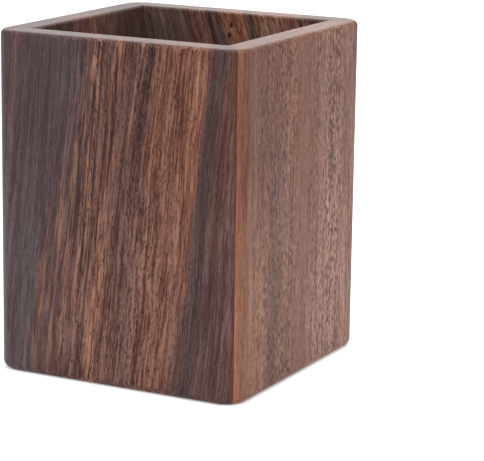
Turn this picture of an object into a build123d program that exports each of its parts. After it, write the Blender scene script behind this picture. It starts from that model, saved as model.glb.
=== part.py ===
from build123d import *
import os

# Square pen holder in solid wood: four upright boards, mitred at the corners, close round a
# bottom panel. Millimetres, +Z up, the front board faces -Y, origin at the middle of the base.

# Outside of the holder
holder_width = 80.0
holder_depth = 80.0
holder_height = 100.0
wall_thickness = 8.5

# Worked edges of the boards
upright_radius = 7.0      # upright corners, shaped after gluing up
bottom_radius = 2.5       # bottom edges, run all round once the uprights are shaped
rim_outer_radius = 1.5    # mouth, outer edge
rim_inner_radius = 0.8    # mouth, inner edge
foot_inner_radius = 0.5   # underside, inner edge

# Groove that runs round the inside of the boards and carries the bottom panel
groove_rise = 5.0         # from the table to the lower cheek of the groove
groove_height = 3.0
groove_depth = 3.5        # from the inner face into the board

# Bottom panel: rebated underneath, so that a tongue is left all round its top
tongue_play = 0.1         # tongue to the upper cheek
tongue_end_play = 0.3     # tongue to the groove's end, room for the wood to swell
tongue_lead = 0.4         # chamfer that starts the tongue in the groove
panel_drop = 2.0          # from the underside of the tongue to the underside of the panel
panel_side_play = 0.2     # from the panel's shoulder to the boards

overrun = 1.0             # how far cutting shapes pass the faces that they cut

board_names = ("front_board", "right_board", "back_board", "left_board")
quarter_turn = 90.0


# Outside form of the closed holder, seen with one side as its front.
def rounded_block(length, across):
    block = Box(length, across, holder_height, align=(Align.CENTER, Align.CENTER, Align.MIN))
    block = fillet(block.edges().filter_by(Axis.Z), upright_radius)
    foot = block.faces().sort_by(Axis.Z)[0].edges()
    block = fillet(foot, bottom_radius)
    mouth = block.faces().sort_by(Axis.Z)[-1].edges()
    return fillet(mouth, rim_outer_radius)


# Space of one board: its sides are the mitre planes through the outer and inner corners.
def mitre_wedge(length, across):
    outer_face = -across / 2 - overrun
    inner_face = -across / 2 + wall_thickness
    outer_half = length / 2 + overrun
    inner_half = length / 2 - wall_thickness
    outline = Polyline(
        (-outer_half, outer_face),
        (outer_half, outer_face),
        (inner_half, inner_face),
        (-inner_half, inner_face),
        close=True,
    )
    return extrude(make_face(outline), holder_height + overrun, both=True)


# One upright board, as the front of a holder of the given length and depth.
def mitred_board(length, across):
    inner_face = -across / 2 + wall_thickness
    groove = Pos(0, inner_face - groove_depth, groove_rise) * Box(
        length,
        groove_depth + overrun,
        groove_height,
        align=(Align.CENTER, Align.MIN, Align.MIN),
    )
    board = rounded_block(length, across) & mitre_wedge(length, across)
    board = board - groove
    foot_edge = board.edges().filter_by(Axis.X).group_by(Axis.Z)[0].sort_by(Axis.Y)[-1]
    board = fillet(foot_edge, foot_inner_radius)
    rim_edge = board.edges().filter_by(Axis.X).group_by(Axis.Z)[-1].sort_by(Axis.Y)[-1]
    return fillet(rim_edge, rim_inner_radius)


# Floor of the holder: its tongue rests on the lower cheek of the groove.
def bottom_panel():
    inside_width = holder_width - 2 * wall_thickness
    inside_depth = holder_depth - 2 * wall_thickness
    tongue_reach = groove_depth - tongue_end_play
    seat = (Align.CENTER, Align.CENTER, Align.MIN)
    tongue = Box(
        inside_width + 2 * tongue_reach,
        inside_depth + 2 * tongue_reach,
        groove_height - tongue_play,
        align=seat,
    )
    tongue_edges = tongue.edges().filter_by(Axis.Z, reverse=True)
    tongue = Pos(0, 0, groove_rise) * chamfer(tongue_edges, tongue_lead)
    middle = Pos(0, 0, groove_rise - panel_drop) * Box(
        inside_width - 2 * panel_side_play,
        inside_depth - 2 * panel_side_play,
        panel_drop + groove_height / 2,
        align=seat,
    )
    return tongue + middle


os.makedirs("parts", exist_ok=True)
for turn, name in enumerate(board_names):
    faces_front = turn % 2 == 0
    length = holder_width if faces_front else holder_depth
    across = holder_depth if faces_front else holder_width
    board = Rot(0, 0, turn * quarter_turn) * mitred_board(length, across)
    export_step(board, f"parts/{name}.step")
export_step(bottom_panel(), "parts/bottom_panel.step")
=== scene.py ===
import math
import bpy
from mathutils import Matrix, Vector


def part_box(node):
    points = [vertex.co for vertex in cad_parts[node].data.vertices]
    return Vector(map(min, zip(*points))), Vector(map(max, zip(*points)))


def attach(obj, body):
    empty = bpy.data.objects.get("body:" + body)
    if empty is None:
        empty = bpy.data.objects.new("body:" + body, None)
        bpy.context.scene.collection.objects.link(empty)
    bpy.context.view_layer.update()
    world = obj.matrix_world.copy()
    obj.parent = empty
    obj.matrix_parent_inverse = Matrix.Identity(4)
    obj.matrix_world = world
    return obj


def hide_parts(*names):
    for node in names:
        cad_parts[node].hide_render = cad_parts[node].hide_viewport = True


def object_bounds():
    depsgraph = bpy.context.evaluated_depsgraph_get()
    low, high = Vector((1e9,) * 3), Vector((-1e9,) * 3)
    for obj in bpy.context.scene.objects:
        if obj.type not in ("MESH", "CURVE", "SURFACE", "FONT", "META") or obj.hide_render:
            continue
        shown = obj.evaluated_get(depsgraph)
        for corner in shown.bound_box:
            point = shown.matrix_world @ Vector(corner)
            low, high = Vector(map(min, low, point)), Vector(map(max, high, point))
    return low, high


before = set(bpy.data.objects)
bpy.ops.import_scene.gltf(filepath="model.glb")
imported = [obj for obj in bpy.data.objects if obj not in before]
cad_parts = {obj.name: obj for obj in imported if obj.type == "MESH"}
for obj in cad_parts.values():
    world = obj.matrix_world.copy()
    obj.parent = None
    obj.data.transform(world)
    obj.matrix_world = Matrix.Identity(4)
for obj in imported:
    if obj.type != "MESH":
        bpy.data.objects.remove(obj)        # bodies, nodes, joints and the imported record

cadLow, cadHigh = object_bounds()
print("frame loaded:", ", ".join(sorted(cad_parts)))

millimetre = 0.001
toMillimetres = 1000.0
quarterTurn = math.pi / 2


# small helpers for node trees
def addNode(tree, kind, values=None, **settings):
    made = tree.nodes.new(kind)
    for key, value in settings.items():
        setattr(made, key, value)
    for key, value in (values or {}).items():
        if isinstance(value, bpy.types.NodeSocket):      # sockets are linked, other values set
            tree.links.new(value, made.inputs[key])
        else:
            made.inputs[key].default_value = value
    return made


def calc(tree, operation, *terms, clamp=False):
    values = dict(enumerate(terms))
    return addNode(tree, "ShaderNodeMath", values, operation=operation, use_clamp=clamp).outputs[0]


def vectorCalc(tree, operation, *terms, output="Vector"):
    values = dict(enumerate(terms))
    return addNode(tree, "ShaderNodeVectorMath", values, operation=operation).outputs[output]


# sRGB curve: tones are written as they look on screen, and shaders take them linear
screenCurve = {
    "levels": 255,
    "knee": 0.04045,
    "slope": 12.92,
    "lift": 0.055,
    "power": 2.4,
}


def linearTone(tone):
    def oneChannel(level):
        share = level / screenCurve["levels"]
        if share <= screenCurve["knee"]:
            return share / screenCurve["slope"]
        lift = screenCurve["lift"]
        return ((share + lift) / (1 + lift)) ** screenCurve["power"]
    return (*map(oneChannel, tone), 1.0)


# upright boards: one wall section, swept between two mitres, with the outer corners rounded
boardShape = {
    "upright": 7.0 * millimetre,
    "bottom": 2.5 * millimetre,
    "rimOuter": 1.5 * millimetre,
    "rimInner": 0.8 * millimetre,
    "footInner": 0.5 * millimetre,
    "grooveRise": 5.0 * millimetre,
    "grooveHeight": 3.0 * millimetre,
    "grooveDepth": 3.5 * millimetre,
    "edgeSteps": 9,       # facets in each rounded edge
    "cornerSteps": 10,    # facets in half an upright corner
    "spanSteps": 40,      # divisions along the board
    "creaseAngle": math.radians(32),
    "mergeDistance": 0.001 * millimetre,
}


def boardTree():
    tree = bpy.data.node_groups.new("mitredBoard", "GeometryNodeTree")
    tree.interface.new_socket("Geometry", in_out="OUTPUT", socket_type="NodeSocketGeometry")
    floats = ("Length", "Across", "Height", "Wall", "Upright", "Bottom", "Rim Outer", "Rim Inner",
              "Foot Inner", "Groove Rise", "Groove Height", "Groove Depth", "Turn", "Crease Angle")
    for name in floats:
        tree.interface.new_socket(name, in_out="INPUT", socket_type="NodeSocketFloat")
    for name in ("Edge Steps", "Corner Steps", "Span Steps"):
        tree.interface.new_socket(name, in_out="INPUT", socket_type="NodeSocketInt")
    tree.interface.new_socket("Wood", in_out="INPUT", socket_type="NodeSocketMaterial")
    given = addNode(tree, "NodeGroupInput").outputs

    # wall section: y runs from the outer face to the inner one, z up
    outer = calc(tree, "MULTIPLY", given["Across"], -0.5)
    inner = calc(tree, "ADD", outer, given["Wall"])
    grooveEnd = calc(tree, "SUBTRACT", inner, given["Groove Depth"])
    grooveTop = calc(tree, "ADD", given["Groove Rise"], given["Groove Height"])
    corners = (
        (outer, 0.0, given["Bottom"]),
        (outer, given["Height"], given["Rim Outer"]),
        (inner, given["Height"], given["Rim Inner"]),
        (inner, grooveTop, 0.0),
        (grooveEnd, grooveTop, 0.0),
        (grooveEnd, given["Groove Rise"], 0.0),
        (inner, given["Groove Rise"], 0.0),
        (inner, 0.0, given["Foot Inner"]),
    )
    places = addNode(tree, "GeometryNodeIndexSwitch", data_type="VECTOR")
    radii = addNode(tree, "GeometryNodeIndexSwitch", data_type="FLOAT")
    index = addNode(tree, "GeometryNodeInputIndex").outputs[0]
    for switch in (places, radii):
        while len(switch.index_switch_items) < len(corners):
            switch.index_switch_items.new()
        tree.links.new(index, switch.inputs["Index"])
    for number, (y, z, radius) in enumerate(corners):
        point = addNode(tree, "ShaderNodeCombineXYZ", {"Y": y, "Z": z})
        tree.links.new(point.outputs[0], places.inputs[number + 1])
        if isinstance(radius, bpy.types.NodeSocket):
            tree.links.new(radius, radii.inputs[number + 1])
    line = addNode(tree, "GeometryNodeMeshLine", {"Count": len(corners)})
    placed = addNode(tree, "GeometryNodeSetPosition",
                     {"Geometry": line.outputs[0], "Position": places.outputs[0]})
    curve = addNode(tree, "GeometryNodeMeshToCurve", {"Mesh": placed.outputs[0]})
    closed = addNode(tree, "GeometryNodeSetSplineCyclic",
                     {"Geometry": curve.outputs[0], "Cyclic": True})
    rounded = addNode(tree, "GeometryNodeFilletCurve",
                      {"Curve": closed.outputs[0], "Count": given["Edge Steps"],
                       "Radius": radii.outputs[0], "Limit Radius": True}, mode="POLY")
    position = addNode(tree, "GeometryNodeInputPosition").outputs[0]
    section = addNode(tree, "GeometryNodeCaptureAttribute", {"Geometry": rounded.outputs[0]})
    section.capture_items.new("VECTOR", "Section")
    tree.links.new(position, section.inputs["Section"])

    # stations along the board: corner steps, span steps, corner steps
    twoCorners = calc(tree, "MULTIPLY", given["Corner Steps"], 2.0)
    steps = calc(tree, "ADD", twoCorners, given["Span Steps"])
    stationCount = calc(tree, "ADD", steps, 1.0)
    path = addNode(tree, "GeometryNodeCurvePrimitiveLine",
                   {"Start": (0.0, 0.0, 0.0), "End": (1.0, 0.0, 0.0)})
    stations = addNode(tree, "GeometryNodeResampleCurve",
                       {"Curve": path.outputs[0], "Count": stationCount}, mode="COUNT")
    numbered = addNode(tree, "GeometryNodeCaptureAttribute", {"Geometry": stations.outputs[0]})
    numbered.capture_items.new("FLOAT", "Station")
    tree.links.new(index, numbered.inputs["Station"])
    swept = addNode(tree, "GeometryNodeCurveToMesh",
                    {"Curve": numbered.outputs[0], "Profile Curve": section.outputs[0],
                     "Fill Caps": True})

    # where each section point goes at its station
    along = numbered.outputs["Station"]
    profile = addNode(tree, "ShaderNodeSeparateXYZ", {"Vector": section.outputs["Section"]})
    fromCorner = calc(tree, "SUBTRACT", along, given["Corner Steps"])
    spanShare = calc(tree, "DIVIDE", fromCorner, given["Span Steps"], clamp=True)
    side = calc(tree, "MULTIPLY_ADD", spanShare, 2.0, -1.0)
    leftOver = calc(tree, "SUBTRACT", 0.0, fromCorner)
    rightOver = calc(tree, "SUBTRACT", fromCorner, given["Span Steps"])
    over = calc(tree, "MAXIMUM", calc(tree, "MAXIMUM", leftOver, rightOver), 0.0)
    cornerShare = calc(tree, "DIVIDE", over, given["Corner Steps"])
    angle = calc(tree, "MULTIPLY", cornerShare, quarterTurn / 2)
    outward = calc(tree, "MULTIPLY", profile.outputs["Y"], -1.0)
    axisLine = calc(tree, "SUBTRACT", calc(tree, "MULTIPLY", outer, -1.0), given["Upright"])
    flatReach = calc(tree, "MINIMUM", outward, axisLine)
    cornerReach = calc(tree, "MAXIMUM", calc(tree, "SUBTRACT", outward, axisLine), 0.0)
    longer = calc(tree, "SUBTRACT", given["Length"], given["Across"])
    halfLength = calc(tree, "MULTIPLY_ADD", longer, 0.5, flatReach)
    onSpan = calc(tree, "MULTIPLY", side, halfLength)
    bulge = calc(tree, "MULTIPLY", cornerReach, calc(tree, "SINE", angle))
    x = calc(tree, "MULTIPLY_ADD", side, bulge, onSpan)
    depth = calc(tree, "MULTIPLY_ADD", cornerReach, calc(tree, "COSINE", angle), flatReach)
    y = calc(tree, "MULTIPLY", depth, -1.0)
    final = addNode(tree, "ShaderNodeCombineXYZ", {"X": x, "Y": y, "Z": profile.outputs["Z"]})
    shaped = addNode(tree, "GeometryNodeSetPosition",
                     {"Geometry": swept.outputs[0], "Position": final.outputs[0]})
    merged = addNode(tree, "GeometryNodeMergeByDistance",
                     {"Geometry": shaped.outputs[0], "Distance": boardShape["mergeDistance"]})

    # smooth rounds, crisp arrises, then the board's quarter turn
    smooth = addNode(tree, "GeometryNodeSetShadeSmooth",
                     {"Geometry": merged.outputs[0], "Shade Smooth": True}, domain="FACE")
    edgeAngle = addNode(tree, "GeometryNodeInputMeshEdgeAngle").outputs[0]
    isArris = addNode(tree, "FunctionNodeCompare", {"A": edgeAngle, "B": given["Crease Angle"]},
                      data_type="FLOAT", operation="GREATER_THAN").outputs[0]
    crisp = addNode(tree, "GeometryNodeSetShadeSmooth",
                    {"Geometry": smooth.outputs[0], "Selection": isArris, "Shade Smooth": False},
                    domain="EDGE")
    turned = addNode(tree, "ShaderNodeCombineXYZ", {"Z": given["Turn"]})
    placedBoard = addNode(tree, "GeometryNodeTransform",
                          {"Geometry": crisp.outputs[0], "Rotation": turned.outputs[0]})
    real = addNode(tree, "GeometryNodeRealizeInstances", {"Geometry": placedBoard.outputs[0]})
    wooden = addNode(tree, "GeometryNodeSetMaterial",
                     {"Geometry": real.outputs[0], "Material": given["Wood"]})
    addNode(tree, "NodeGroupOutput", {"Geometry": wooden.outputs[0]})
    return tree


def makeBoard(name, node, turn, tree, wood):
    low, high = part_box(node)
    whole = cadHigh - cadLow
    lengthwise = turn % 2 == 0
    inputs = {
        "Length": whole.x if lengthwise else whole.y,
        "Across": whole.y if lengthwise else whole.x,
        "Height": high.z - low.z,
        "Wall": min(high.x - low.x, high.y - low.y),
        "Turn": turn * quarterTurn,
        "Upright": boardShape["upright"],
        "Bottom": boardShape["bottom"],
        "Rim Outer": boardShape["rimOuter"],
        "Rim Inner": boardShape["rimInner"],
        "Foot Inner": boardShape["footInner"],
        "Groove Rise": boardShape["grooveRise"],
        "Groove Height": boardShape["grooveHeight"],
        "Groove Depth": boardShape["grooveDepth"],
        "Edge Steps": boardShape["edgeSteps"],
        "Corner Steps": boardShape["cornerSteps"],
        "Span Steps": boardShape["spanSteps"],
        "Crease Angle": boardShape["creaseAngle"],
        "Wood": wood,
    }
    maker = bpy.data.objects.new(name + "Maker", bpy.data.meshes.new(name + "Maker"))
    bpy.context.scene.collection.objects.link(maker)
    nodes = maker.modifiers.new("mitredBoard", "NODES")
    nodes.node_group = tree
    for item in tree.interface.items_tree:
        if item.in_out == "INPUT":
            nodes[item.identifier] = inputs[item.name]
    normals = maker.modifiers.new("evenFaces", "WEIGHTED_NORMAL")
    normals.keep_sharp = True
    graph = bpy.context.evaluated_depsgraph_get()
    mesh = bpy.data.meshes.new_from_object(maker.evaluated_get(graph), depsgraph=graph)
    mesh.name = name
    bpy.data.objects.remove(maker)
    board = bpy.data.objects.new(name, mesh)
    bpy.context.scene.collection.objects.link(board)
    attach(board, "root")
    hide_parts(node)
    print(name, "made with", len(mesh.polygons), "faces")


# tones of the wood, as they look on screen
woodTones = {
    "ink": (69, 51, 49),
    "plum": (74, 58, 59),
    "ash": (80, 68, 69),
    "soot": (83, 61, 57),
    "umber": (85, 56, 50),
    "mauve": (91, 65, 62),
    "dusk": (93, 72, 66),
    "russet": (100, 70, 63),
    "rust": (106, 69, 57),
    "copper": (115, 78, 66),
    "amber": (126, 83, 67),
    "fawn": (129, 92, 78),
    "honey": (137, 93, 73),
    "tan": (138, 98, 80),
    "sand": (142, 105, 91),
    "pale": (152, 114, 99),
    # painted highlight: the lit round of the near upright corner
    "cornerHighlight": (178, 104, 75),
    "mitreDark": (92, 50, 38),
    "pore": (46, 29, 26),
}

# figure of each piece: places in millimetres across it, those of a board as seen from outside
frontWood = {
    "turn": 0,                     # quarter turns from the front
    "lean": 0.1,                   # sideways run of the growth lines, per millimetre of height
    "fan": -0.0001,                # change of the lean, per millimetre across
    "ringTilt": 0.5,               # sideways run of the lines, per millimetre of depth
    "wander": 1.2,
    "seed": 3.0,
    "reach": 44.0,                 # places below run from minus to plus this
    "push": (0.5, 0.9),            # how far fine lines and bands shift the tones
    "fleck": (0.42, 1.6),          # size across the grain and along it
    "lightShare": 0.9,             # strength of light lines against dark ones
    "pores": 0.9,
    "redder": (1.0, 1.3, 1.34),    # how strongly lines shade red, green and blue
    # pale grey of the rim: end grain with a painted sheen
    "rimGrainAndSheenTone": (126, 113, 111),
    "upperTones": ((-40, "ink"), (-35, "plum"), (-13.6, "plum"), (-7.6, "umber"), (7.4, "umber"),
                   (9.6, "rust"), (15.4, "rust"), (21.2, "amber"), (24.7, "amber"), (27.2, "ink"),
                   (30.3, "ink"), (32.8, "umber"), (39, "mauve")),
    "lowerTones": ((-40, "ash"), (-24, "ash"), (-15, "mauve"), (-7.2, "russet"), (-3.4, "copper"),
                   (2.4, "russet"), (8.2, "russet"), (14.2, "copper"), (20.8, "copper"), (23.6, "russet"),
                   (27, "plum"), (32.8, "mauve"), (39, "mauve")),
    "streaks": ((-39, 0.42), (-24, 0.4), (-14, 0.6), (-8, 1.0), (18, 0.88), (22.6, 0.72), (27.8, 0.48),
                (39, 0.65)),
    "mottle": ((-39, 0.2), (-12, 0.2), (-2, 0.3), (5, 0.75), (11, 0.7), (16, 0.45), (22, 0.3), (39, 0.2)),
    "veins": (
        {"at": -9.2, "width": 2.1, "top": 120, "foot": 6, "strength": 0.7, "tone": "honey"},
        {"at": -12.5, "width": 1.3, "top": 120, "foot": 46, "strength": 0.3, "tone": "honey"},
        {"at": -15.2, "width": 1.0, "top": 120, "foot": 60, "strength": 0.22, "tone": "honey"},
        {"at": -2.6, "width": 1.9, "top": 120, "foot": 30, "strength": 0.55, "tone": "honey"},
        {"at": 3.8, "width": 1.2, "top": 120, "foot": 64, "strength": 0.6, "tone": "honey"},
        {"at": 23.4, "width": 2.4, "top": 120, "foot": 14, "strength": 0.5, "tone": "honey"},
        {"at": -13.6, "width": 1.4, "top": 92, "foot": -14, "strength": 0.55, "tone": "honey"},
        {"at": -16.8, "width": 1.8, "top": 74, "foot": -14, "strength": 0.6, "tone": "honey"},
        {"at": -21.0, "width": 2.0, "top": 58, "foot": -14, "strength": 0.65, "tone": "honey"},
        {"at": -24.2, "width": 1.2, "top": 24, "foot": -14, "strength": 0.35, "tone": "honey"},
        {"at": -3.8, "width": 2.2, "top": 52, "foot": -14, "strength": 0.55, "tone": "honey"},
        {"at": -36.4, "width": 1.3, "top": 120, "foot": 62, "strength": 0.2, "tone": "honey"},
        {"at": 7.2, "width": 1.6, "top": 120, "foot": 56, "strength": 0.6, "tone": "ink"},
        {"at": 1.4, "width": 1.3, "top": 104, "foot": 44, "strength": 0.75, "tone": "ink"},
        {"at": -6.8, "width": 1.2, "top": 118, "foot": 50, "strength": 0.6, "tone": "ink"},
    ),
    # darker bands beside both mitres
    "edges": (
        {"side": -1, "width": 1.3, "upper": 0.65, "lower": 0.65, "tone": "mitreDark"},
        {"side": 1, "width": 1.3, "upper": 0.65, "lower": 0.65, "tone": "mitreDark"},
    ),
    "knots": (),
}
rightWood = {
    "turn": 1,
    "lean": 0.0,
    "fan": 0.0,
    "ringTilt": 0.5,
    "wander": 1.6,
    "seed": 11.0,
    "reach": 44.0,
    "push": (0.4, 1.2),
    "fleck": (0.55, 1.7),
    "lightShare": 0.7,
    "pores": 0.6,
    "redder": (1.0, 1.4, 1.58),
    "rimGrainAndSheenTone": (134, 116, 110),
    # the stops from -40 to -36 in both lists paint the highlight of the rounded corner beside the mitre
    "upperTones": ((-40, "honey"), (-38, "honey"), (-36.2, "copper"), (-34, "copper"), (-24.5, "rust"),
                   (-15.5, "copper"), (-4.5, "amber"), (3, "copper"), (6.5, "amber"), (11.5, "fawn"),
                   (29, "fawn"), (39, "copper")),
    "lowerTones": ((-40, "cornerHighlight"), (-38, "cornerHighlight"), (-36.4, "tan"), (-24.5, "tan"), (-18.5, "russet"),
                   (-12.5, "fawn"), (1.5, "fawn"), (6.5, "sand"), (19.5, "sand"), (28, "pale"),
                   (39, "fawn")),
    "streaks": ((-39, 0.25), (-20, 0.42), (0, 0.36), (20, 0.5), (39, 0.6)),
    "mottle": ((-39, 0.1), (-32, 0.3), (-26, 0.8), (-16, 1.1), (-8, 1.2), (-4, 0.5), (1, 0.35), (5, 0.6),
               (9, 1.0), (15, 0.95), (18, 1.6), (23, 1.6), (26, 0.6), (39, 0.3)),
    "veins": (
        {"at": 3.6, "width": 2.8, "top": 90, "foot": 14, "strength": 0.45, "tone": "russet"},
        {"at": -23.4, "width": 3.4, "top": 108, "foot": 52, "strength": 0.5, "tone": "russet"},
        {"at": -18.9, "width": 4.6, "top": 82, "foot": 2, "strength": 0.6, "tone": "russet"},
        {"at": 35.0, "width": 3.0, "top": 130, "foot": -30, "strength": 0.9, "tone": "umber"},
    ),
    # painted highlight along the rounded corner beside the mitre, stronger towards the foot
    "edges": ({"side": -1, "width": 2.8, "upper": 0.14, "lower": 0.4, "tone": "cornerHighlight"},),
    "knots": (),
}
backWood = {
    "turn": 2,
    "lean": 0.36,
    "fan": 0.0,
    "ringTilt": 0.5,
    "wander": 0.9,
    "seed": 23.0,
    "reach": 62.0,
    "push": (0.4, 0.7),
    "fleck": (0.5, 2.0),
    "lightShare": 0.9,
    "pores": 0.34,
    "redder": (1.0, 1.3, 1.34),
    "rimGrainAndSheenTone": (128, 118, 115),
    "upperTones": ((-60, "dusk"), (-40, "soot"), (-34, "fawn"), (-21, "fawn"), (-19.8, "soot"),
                   (-18, "soot"), (-16.4, "honey"), (-10.6, "honey"), (-7.2, "soot"), (-4.9, "soot"),
                   (-2.8, "copper"), (2, "russet"), (6, "dusk"), (20, "dusk"), (32, "russet"),
                   (60, "dusk")),
    "lowerTones": ((-60, "russet"), (-32, "russet"), (-20, "soot"), (-15, "copper"), (-4, "mauve"),
                   (4, "copper"), (14, "soot"), (30, "russet"), (44, "soot"), (60, "russet")),
    "streaks": ((-60, 0.45), (-10, 0.6), (6, 0.45), (60, 0.4)),
    "mottle": ((-60, 0.4), (-12, 0.7), (8, 0.3), (60, 0.3)),
    "veins": (
        {"at": -13.4, "width": 1.4, "top": 118, "foot": 40, "strength": 0.7, "tone": "tan"},
        {"at": -9.6, "width": 1.0, "top": 118, "foot": 56, "strength": 0.6, "tone": "tan"},
        {"at": 16.0, "width": 1.6, "top": 70, "foot": -14, "strength": 0.5, "tone": "tan"},
        {"at": 36.0, "width": 1.4, "top": 60, "foot": -14, "strength": 0.5, "tone": "tan"},
    ),
    "edges": (),
    "knots": ((0.7, 8.5, 96.1), (1.4, 8.5, 92.9)),   # two pin knots on the inner face
}
leftWood = {
    "turn": 3,
    "lean": 0.05,
    "fan": 0.0004,
    "ringTilt": 0.5,
    "wander": 1.8,
    "seed": 37.0,
    "reach": 44.0,
    "push": (0.5, 0.9),
    "fleck": (0.5, 2.0),
    "lightShare": 0.9,
    "pores": 0.34,
    "redder": (1.0, 1.3, 1.34),
    # darker rim on this board: partly the wood, partly painted shade
    "rimGrainAndSheenTone": (98, 91, 93),
    "upperTones": ((-39, "dusk"), (-17, "soot"), (1, "fawn"), (12, "dusk"), (28, "russet"), (39, "dusk")),
    "lowerTones": ((-39, "soot"), (-24, "russet"), (-12, "soot"), (4, "russet"), (12, "soot"),
                   (26, "russet"), (39, "soot")),
    "streaks": ((-39, 0.4), (0, 0.5), (39, 0.4)),
    "mottle": ((-39, 0.2), (0, 0.6), (20, 0.4), (39, 0.2)),
    "veins": (
        {"at": 8.5, "width": 1.6, "top": 118, "foot": 24, "strength": 0.7, "tone": "tan"},
        {"at": -16.0, "width": 1.4, "top": 70, "foot": -14, "strength": 0.7, "tone": "tan"},
        {"at": 22.0, "width": 1.4, "top": 60, "foot": -14, "strength": 0.6, "tone": "tan"},
    ),
    "edges": (),
    "knots": (),
}
panelWood = {
    "lying": True,
    "lean": 0.03,
    "fan": 0.0,
    "ringTilt": 0.8,
    "wander": 2.0,
    "seed": 51.0,
    "reach": 44.0,
    "push": (0.6, 1.0),
    "fleck": (0.5, 2.0),
    "lightShare": 0.8,
    "pores": 0.34,
    "redder": (1.0, 1.3, 1.34),
    "upperTones": ((-39, "mauve"), (-12, "copper"), (4, "russet"), (20, "copper"), (39, "mauve")),
    "lowerTones": ((-39, "mauve"), (-14, "copper"), (2, "russet"), (18, "copper"), (39, "mauve")),
    "streaks": ((-39, 0.6), (39, 0.6)),
    "mottle": ((-39, 0.3), (0, 0.6), (39, 0.3)),
    "veins": ({"at": 14.0, "width": 1.6, "top": 118, "foot": -14, "strength": 0.6, "tone": "tan"},),
    "edges": (),
    "knots": (),
}

# what all five pieces share: lengths in millimetres, sizes across the grain, then along it
walnutFinish = {
    "layers": {                   # noises that make up the figure
        "wander": {"size": (24.0, 55.0), "detail": 2.0, "roughness": 0.5, "draw": 0.0},
        "hair": {"size": (0.36, 6.0), "detail": 2.0, "roughness": 0.6, "draw": 9.1},
        "fine": {"size": (0.62, 18.0), "detail": 2.0, "roughness": 0.55, "draw": 1.7},
        "band": {"size": (1.7, 42.0), "detail": 2.0, "roughness": 0.5, "draw": 5.3},
        "patch": {"size": (7.0, 24.0), "detail": 1.0, "roughness": 0.5, "draw": 21.1},
        "vein": {"size": (6.0, 18.0), "detail": 2.0, "roughness": 0.5, "draw": 3.3},
        "weave": {"size": (3.4, 5.6), "detail": 1.0, "roughness": 0.5, "draw": 7.9},
        "fleck": {"detail": 1.5, "roughness": 0.5, "draw": 13.7},     # each piece gives its size
        "tint": {"size": (3.0, 16.0), "detail": 1.0, "roughness": 0.5, "draw": 17.9},
    },
    "hairGain": 1.7,
    "fineGain": 1.8,
    "bandGain": 1.3,
    "quietShare": 0.5,            # what is left of the lines in the quietest patches
    "lightCap": 0.55,             # light lines level off, dark ones don't
    "blendSpan": 46.0,            # height over which the upper figure turns into the lower one
    "blendFray": 0.8,
    "veinWobble": 0.9,
    "veinFray": 0.8,
    "veinTaper": 24.0,            # length over which a vein fades at its top and foot
    "hairInVein": 0.35,
    "veinLines": (0.50, 0.78),    # range of the noise that splits a vein into lines
    "wiggle": 0.5,                # how far flecks weave from side to side
    "lightFleck": (0.45, 0.30),
    "darkFleck": (0.52, 0.68),
    "mottleGain": 0.8,
    "tintGain": (0.08, 0.07, 0.09),
    "poreSize": (0.5, 2.0),
    "poreEdge": (0.40, 0.20),     # from a pore's rim to its full depth, as shares of its cell
    "poreLot": (0.3, 0.6),        # cells whose lot is below this range stay closed
    "knotSize": (0.7, 1.5, 1.1),
    "knotEdge": (1.0, 0.5),       # from a knot's rim to its full tone, as shares of its size
    # the top of each upright board takes the rim tone: end grain with a painted sheen
    "rimDepth": 0.4,
    "rimGrainAndSheenShare": 0.5,
    "seamWidth": 0.12,
    "seamShare": 0.5,
    "roughness": 0.44,
    "roughnessSwing": 0.06,
    "poreDulling": 0.18,
    "hairHeight": 0.3,            # relief of the hair lines against the pores
    "bumpStrength": 0.35,
    "bumpDepth": 0.06 * millimetre,
    "refraction": 1.5,
    "specularLevel": 0.12,
}


def toneOf(name):
    return linearTone(woodTones[name])


# stops are (place, tone name) or (place, level); places run from minus to plus the reach
def rampOf(tree, factor, stops, reach):
    ramp = addNode(tree, "ShaderNodeValToRGB", {"Fac": factor})
    bands = ramp.color_ramp.elements
    bands[0].position = 0.0
    bands[1].position = 1.0
    for number, (place, value) in enumerate(stops):
        share = 0.5 * place / reach + 0.5
        if number == 0:
            band = bands[0]
        elif number == len(stops) - 1:
            band = bands[len(bands) - 1]
        else:
            band = bands.new(share)
        band.position = share
        band.color = toneOf(value) if value in woodTones else (value, value, value, 1.0)
    return ramp.outputs["Color"]


# a Mix node keeps its colours in sockets 6 and 7, and the result in output 2
def mixOf(tree, factor, first, second):
    made = addNode(tree, "ShaderNodeMix", {0: factor, 6: first, 7: second}, data_type="RGBA",
                   clamp_factor=True)
    return made.outputs[2]


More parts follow.
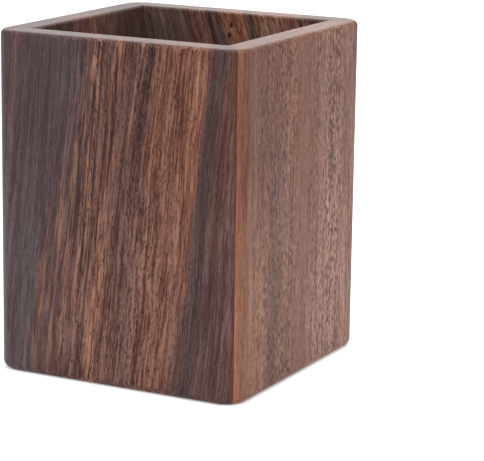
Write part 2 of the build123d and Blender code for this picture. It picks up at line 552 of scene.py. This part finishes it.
def walnut(name, look):
    finish = walnutFinish
    mat = bpy.data.materials.new(name)
    mat.use_nodes = True
    tree = mat.node_tree
    tree.nodes.clear()
    whole = (cadHigh - cadLow) * toMillimetres
    midHeight = whole.z / 2
    reach = look["reach"]
    lying = look.get("lying", False)

    # millimetres in the piece's own frame: x across, y into the wood, z along the grain
    coords = addNode(tree, "ShaderNodeTexCoord").outputs["Object"]
    if lying:
        turn = Matrix(((0, 1, 0), (0, 0, 1), (1, 0, 0))).to_euler()     # grain from left to right
        shift = (0.0, 0.0, midHeight)
    else:
        turn = Matrix.Rotation(-look["turn"] * quarterTurn, 3, "Z").to_euler()
        shift = (0.0, whole.y / 2, 0.0)
    local = addNode(tree, "ShaderNodeMapping",
                    {"Vector": coords, "Location": shift, "Rotation": turn,
                     "Scale": (toMillimetres,) * 3}).outputs[0]
    parts = addNode(tree, "ShaderNodeSeparateXYZ", {"Vector": local}).outputs

    def noise(vector, layer, size=None, output="Fac"):
        settings = finish["layers"][layer]
        across, along = size or settings["size"]
        fitted = addNode(tree, "ShaderNodeMapping",
                         {"Vector": vector, "Scale": (1 / across, 1 / across, 1 / along),
                          "Location": (look["seed"] + settings["draw"],) * 3}).outputs[0]
        made = addNode(tree, "ShaderNodeTexNoise",
                       {"Vector": fitted, "Scale": 1.0, "Detail": settings["detail"],
                        "Roughness": settings["roughness"]})
        return made.outputs[output]

    def swing(factor, amount):
        return calc(tree, "MULTIPLY_ADD", factor, 2 * amount, -amount)

    # noise keeps to the middle of its range, so a distance swings twice as far
    def sway(factor, distance):
        return swing(factor, 2 * distance)

    def ease(value, start, end):
        return addNode(tree, "ShaderNodeMapRange",
                       {"Value": value, "From Min": start, "From Max": end,
                        "To Min": 0.0, "To Max": 1.0},
                       interpolation_type="SMOOTHSTEP").outputs[0]

    def vectorOf(x):
        values = {"X": x, "Y": parts["Y"], "Z": parts["Z"]}
        return addNode(tree, "ShaderNodeCombineXYZ", values).outputs[0]

    def placeOf(x):
        return calc(tree, "MULTIPLY_ADD", x, 0.5 / reach, 0.5)

    # growth lines: lean, drift with depth and wander
    rise = calc(tree, "SUBTRACT", parts["Z"], midHeight)
    lean = calc(tree, "MULTIPLY_ADD", parts["X"], look["fan"], look["lean"])
    leaning = calc(tree, "SUBTRACT", parts["X"], calc(tree, "MULTIPLY", rise, lean))
    tilted = calc(tree, "MULTIPLY_ADD", parts["Y"], look["ringTilt"], leaning)
    line = calc(tree, "ADD", tilted, sway(noise(local, "wander"), look["wander"]))
    grain = vectorOf(line)
    linePlace = placeOf(line)

    # streaks of three widths; the wider two push neighbouring tones into each other
    hair = noise(grain, "hair")
    fine = noise(grain, "fine")
    band = noise(grain, "band")
    finePush, bandPush = look["push"]
    push = calc(tree, "ADD", sway(fine, finePush), sway(band, bandPush))
    place = placeOf(calc(tree, "ADD", line, push))
    upper = rampOf(tree, place, look["upperTones"], reach)
    lower = rampOf(tree, place, look["lowerTones"], reach)
    fall = calc(tree, "MULTIPLY_ADD", rise, -1 / finish["blendSpan"], 0.5)
    blend = calc(tree, "ADD", fall, swing(band, finish["blendFray"]), clamp=True)
    tone = mixOf(tree, blend, upper, lower)

    # single veins, frayed into a few lines, each with its own top and foot
    wobble = sway(noise(local, "vein"), finish["veinWobble"])
    wobbling = calc(tree, "ADD", line, wobble)
    veinLine = calc(tree, "ADD", wobbling, swing(band, finish["veinFray"]))
    frayed = ease(calc(tree, "MULTIPLY_ADD", hair, finish["hairInVein"], fine), *finish["veinLines"])
    for vein in look["veins"]:
        off = calc(tree, "ABSOLUTE", calc(tree, "SUBTRACT", veinLine, vein["at"]))
        core = ease(off, vein["width"], 0.0)
        below = ease(parts["Z"], vein["top"], vein["top"] - finish["veinTaper"])
        above = ease(parts["Z"], vein["foot"], vein["foot"] + finish["veinTaper"])
        stretch = calc(tree, "MULTIPLY", below, above)
        amount = calc(tree, "MULTIPLY", calc(tree, "MULTIPLY", core, stretch), vein["strength"])
        amount = calc(tree, "MULTIPLY", amount, frayed)
        tone = mixOf(tree, amount, tone, toneOf(vein["tone"]))

    # light and dark lines, stronger in some bands and patches than in others
    lines = calc(tree, "ADD", swing(hair, finish["hairGain"]), swing(fine, finish["fineGain"]))
    lines = calc(tree, "ADD", lines, swing(band, finish["bandGain"]))
    lively = calc(tree, "ADD", noise(local, "patch"), finish["quietShare"])
    streakAt = calc(tree, "MULTIPLY", rampOf(tree, linePlace, look["streaks"], reach), lively)
    streak = calc(tree, "MULTIPLY", lines, streakAt)

    # mottled columns, where the grain weaves in and out
    wiggle = sway(noise(local, "weave"), finish["wiggle"])
    woven = vectorOf(calc(tree, "ADD", line, wiggle))
    weave = noise(woven, "fleck", look["fleck"])
    lightFlecks = ease(weave, *finish["lightFleck"])
    flecks = calc(tree, "SUBTRACT", lightFlecks, ease(weave, *finish["darkFleck"]))
    mottle = rampOf(tree, linePlace, look["mottle"], reach)
    mottleAt = calc(tree, "MULTIPLY", mottle, finish["mottleGain"])
    figure = calc(tree, "MULTIPLY_ADD", flecks, calc(tree, "MULTIPLY", mottleAt, lively), streak)

    # lines and flecks become a shade of each channel, and dark ones turn redder
    bright = calc(tree, "MAXIMUM", figure, 0.0)
    raised = calc(tree, "MULTIPLY", bright, look["lightShare"] / finish["lightCap"])
    lightPart = calc(tree, "MULTIPLY", calc(tree, "TANH", raised), finish["lightCap"])
    depth = calc(tree, "ADD", lightPart, calc(tree, "MINIMUM", figure, 0.0))
    red, green, blue = (calc(tree, "EXPONENT", calc(tree, "MULTIPLY", depth, power))
                        for power in look["redder"])
    shade = addNode(tree, "ShaderNodeCombineXYZ", {"X": red, "Y": green, "Z": blue}).outputs[0]

    # slight drifts of hue between red, olive and purple brown
    drift = noise(grain, "tint", output="Color")
    gain = finish["tintGain"]
    tint = vectorCalc(tree, "MULTIPLY_ADD", drift, [2 * g for g in gain], [1 - g for g in gain])
    tinted = vectorCalc(tree, "MULTIPLY", tone, tint)
    shaded = vectorCalc(tree, "MULTIPLY", tinted, shade)

    # open pores, long along the grain
    across, along = finish["poreSize"]
    poreGrid = addNode(tree, "ShaderNodeMapping",
                       {"Vector": grain, "Scale": (1 / across, 1 / across, 1 / along)}).outputs[0]
    cells = addNode(tree, "ShaderNodeTexVoronoi", {"Vector": poreGrid, "Scale": 1.0}).outputs
    lot = addNode(tree, "ShaderNodeSeparateXYZ", {"Vector": cells["Color"]}).outputs["X"]
    isOpen = ease(lot, *finish["poreLot"])
    pore = calc(tree, "MULTIPLY", ease(cells["Distance"], *finish["poreEdge"]), isOpen)
    dark = calc(tree, "MULTIPLY", pore, calc(tree, "MULTIPLY", streakAt, look["pores"]))

    # pin knots
    for knot in look["knots"]:
        offset = vectorCalc(tree, "SUBTRACT", local, knot)
        scaled = vectorCalc(tree, "DIVIDE", offset, finish["knotSize"])
        away = vectorCalc(tree, "LENGTH", scaled, output="Value")
        dark = calc(tree, "MAXIMUM", dark, ease(away, *finish["knotEdge"]))
    colour = mixOf(tree, dark, shaded, toneOf("pore"))

    # bands beside the mitres: darker on the front board, and on the right board a painted highlight of
    # the rounded corner
    for edge in look["edges"]:
        reached = calc(tree, "MULTIPLY_ADD", parts["X"], edge["side"], parts["Y"])
        toMitre = calc(tree, "SUBTRACT", whole.x / 2, reached)
        share = calc(tree, "MULTIPLY_ADD", fall, edge["lower"] - edge["upper"], edge["upper"])
        amount = calc(tree, "MULTIPLY", ease(toMitre, edge["width"], 0.0), share)
        amount = calc(tree, "MULTIPLY", amount, lively)
        colour = mixOf(tree, amount, colour, toneOf(edge["tone"]))

    # upright boards: a paler grey rim, partly end grain and partly painted sheen, and a hairline where
    # two boards meet
    if not lying:
        rimLow = whole.z - finish["rimDepth"]
        rimGrainAndSheen = calc(tree, "MULTIPLY", ease(parts["Z"], rimLow, whole.z), finish["rimGrainAndSheenShare"])
        colour = mixOf(tree, rimGrainAndSheen, colour, linearTone(look["rimGrainAndSheenTone"]))
        fromMiddle = calc(tree, "ADD", calc(tree, "ABSOLUTE", parts["X"]), parts["Y"])
        seam = calc(tree, "GREATER_THAN", fromMiddle, whole.x / 2 - finish["seamWidth"])
        colour = mixOf(tree, calc(tree, "MULTIPLY", seam, finish["seamShare"]), colour, toneOf("pore"))

    # satin oil: pores are dull and sunk, and the hair lines stand a little proud
    dulled = calc(tree, "MULTIPLY_ADD", pore, finish["poreDulling"], finish["roughness"])
    rough = calc(tree, "ADD", dulled, swing(fine, finish["roughnessSwing"]))
    height = calc(tree, "SUBTRACT", calc(tree, "MULTIPLY", hair, finish["hairHeight"]), pore)
    bump = addNode(tree, "ShaderNodeBump",
                   {"Strength": finish["bumpStrength"], "Distance": finish["bumpDepth"],
                    "Height": height}).outputs[0]
    shader = addNode(tree, "ShaderNodeBsdfPrincipled",
                     {"Base Color": colour, "Roughness": rough, "IOR": finish["refraction"],
                      "Specular IOR Level": finish["specularLevel"], "Normal": bump})
    addNode(tree, "ShaderNodeOutputMaterial", {"Surface": shader.outputs[0]})
    return mat


boardNodes = boardTree()
boards = (
    ("frontBoard", "front_board", frontWood),
    ("rightBoard", "right_board", rightWood),
    ("backBoard", "back_board", backWood),
    ("leftBoard", "left_board", leftWood),
)
for name, node, look in boards:
    makeBoard(name, node, look["turn"], boardNodes, walnut(name + "Walnut", look))

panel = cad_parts["bottom_panel"]
panel.data.materials.clear()
panel.data.materials.append(walnut("bottomPanelWalnut", panelWood))
print("bottom panel dressed")


# pale floor under soft studio light
stageSetup = {
    "floorSize": 6.0,
    "floorTone": 0.90,
    "seenLift": 0.35,     # glow of the floor that only seen rays meet
    "ambient": 0.45,      # world light on the object; seen rays meet plain white
    "lamps": (
        {"name": "keyLight", "place": (0.65, -0.70, 1.10), "size": 0.9, "power": 7.2},
        {"name": "fillLight", "place": (-0.70, -0.85, 1.00), "size": 1.2, "power": 4.9},
        {"name": "topLight", "place": (0.0, 0.10, 1.40), "size": 1.2, "power": 14.0},
        {"name": "backLight", "place": (-0.60, 1.05, 0.60), "size": 1.0, "power": 1.8},
    ),
    "target": (0.0, 0.0, 0.05),
}


# rays that show a surface as it looks: camera, glossy and transmission ones
def seenRays(tree):
    rays = addNode(tree, "ShaderNodeLightPath").outputs
    seen = calc(tree, "MAXIMUM", rays["Is Camera Ray"], rays["Is Glossy Ray"])
    return calc(tree, "MAXIMUM", seen, rays["Is Transmission Ray"])


def makeStage():
    half = stageSetup["floorSize"] / 2
    mesh = bpy.data.meshes.new("floor")
    mesh.from_pydata([(-half, -half, 0), (half, -half, 0), (half, half, 0), (-half, half, 0)],
                     [], [(0, 1, 2, 3)])
    floor = bpy.data.objects.new("floor", mesh)
    bpy.context.scene.collection.objects.link(floor)
    paper = bpy.data.materials.new("paleFloor")
    paper.use_nodes = True
    tree = paper.node_tree
    tree.nodes.clear()
    tone = (stageSetup["floorTone"],) * 3 + (1.0,)
    matt = addNode(tree, "ShaderNodeBsdfDiffuse", {"Color": tone})
    lift = calc(tree, "MULTIPLY", seenRays(tree), stageSetup["seenLift"])
    glow = addNode(tree, "ShaderNodeEmission", {"Strength": lift})
    both = addNode(tree, "ShaderNodeAddShader")
    tree.links.new(matt.outputs[0], both.inputs[0])
    tree.links.new(glow.outputs[0], both.inputs[1])
    addNode(tree, "ShaderNodeOutputMaterial", {"Surface": both.outputs[0]})
    mesh.materials.append(paper)

    world = bpy.data.worlds.new("studio")
    bpy.context.scene.world = world
    world.use_nodes = True
    tree = world.node_tree
    tree.nodes.clear()
    ambient = stageSetup["ambient"]
    level = calc(tree, "MULTIPLY_ADD", seenRays(tree), 1.0 - ambient, ambient)
    sky = addNode(tree, "ShaderNodeBackground", {"Color": (1.0, 1.0, 1.0, 1.0), "Strength": level})
    addNode(tree, "ShaderNodeOutputWorld", {"Surface": sky.outputs[0]})

    for lamp in stageSetup["lamps"]:
        data = bpy.data.lights.new(lamp["name"], "AREA")
        data.shape = "DISK"
        data.size = lamp["size"]
        data.energy = lamp["power"]
        light = bpy.data.objects.new(lamp["name"], data)
        light.location = lamp["place"]
        towards = Vector(stageSetup["target"]) - light.location
        light.rotation_euler = towards.to_track_quat("-Z", "Y").to_euler()
        bpy.context.scene.collection.objects.link(light)
    print("stage lit by", len(stageSetup["lamps"]), "lamps")


# viewpoint of the photograph
cameraSetup = {
    "place": (0.31118, -0.56106, 0.18503),
    "yaw": math.radians(27.405),
    "pitch": math.radians(12.861),
    "roll": math.radians(0.835),
    "focalPixels": 2214.9,
    "imageWidth": 484,
    "sensorWidth": 36.0,
    "clipStart": 0.01,
}


def makeCamera():
    data = bpy.data.cameras.new("photoCamera")
    data.sensor_fit = "HORIZONTAL"
    data.sensor_width = cameraSetup["sensorWidth"]
    data.lens = cameraSetup["focalPixels"] * cameraSetup["sensorWidth"] / cameraSetup["imageWidth"]
    data.clip_start = cameraSetup["clipStart"]
    camera = bpy.data.objects.new("photoCamera", data)
    facing = (Matrix.Rotation(cameraSetup["yaw"], 4, "Z")
              @ Matrix.Rotation(quarterTurn - cameraSetup["pitch"], 4, "X")
              @ Matrix.Rotation(cameraSetup["roll"], 4, "Z"))
    camera.matrix_world = Matrix.Translation(cameraSetup["place"]) @ facing
    bpy.context.scene.collection.objects.link(camera)
    bpy.context.scene.camera = camera
    print("camera lens", round(data.lens, 1), "mm")


makeStage()
makeCamera()
bpy.context.scene.view_settings.view_transform = "Standard"
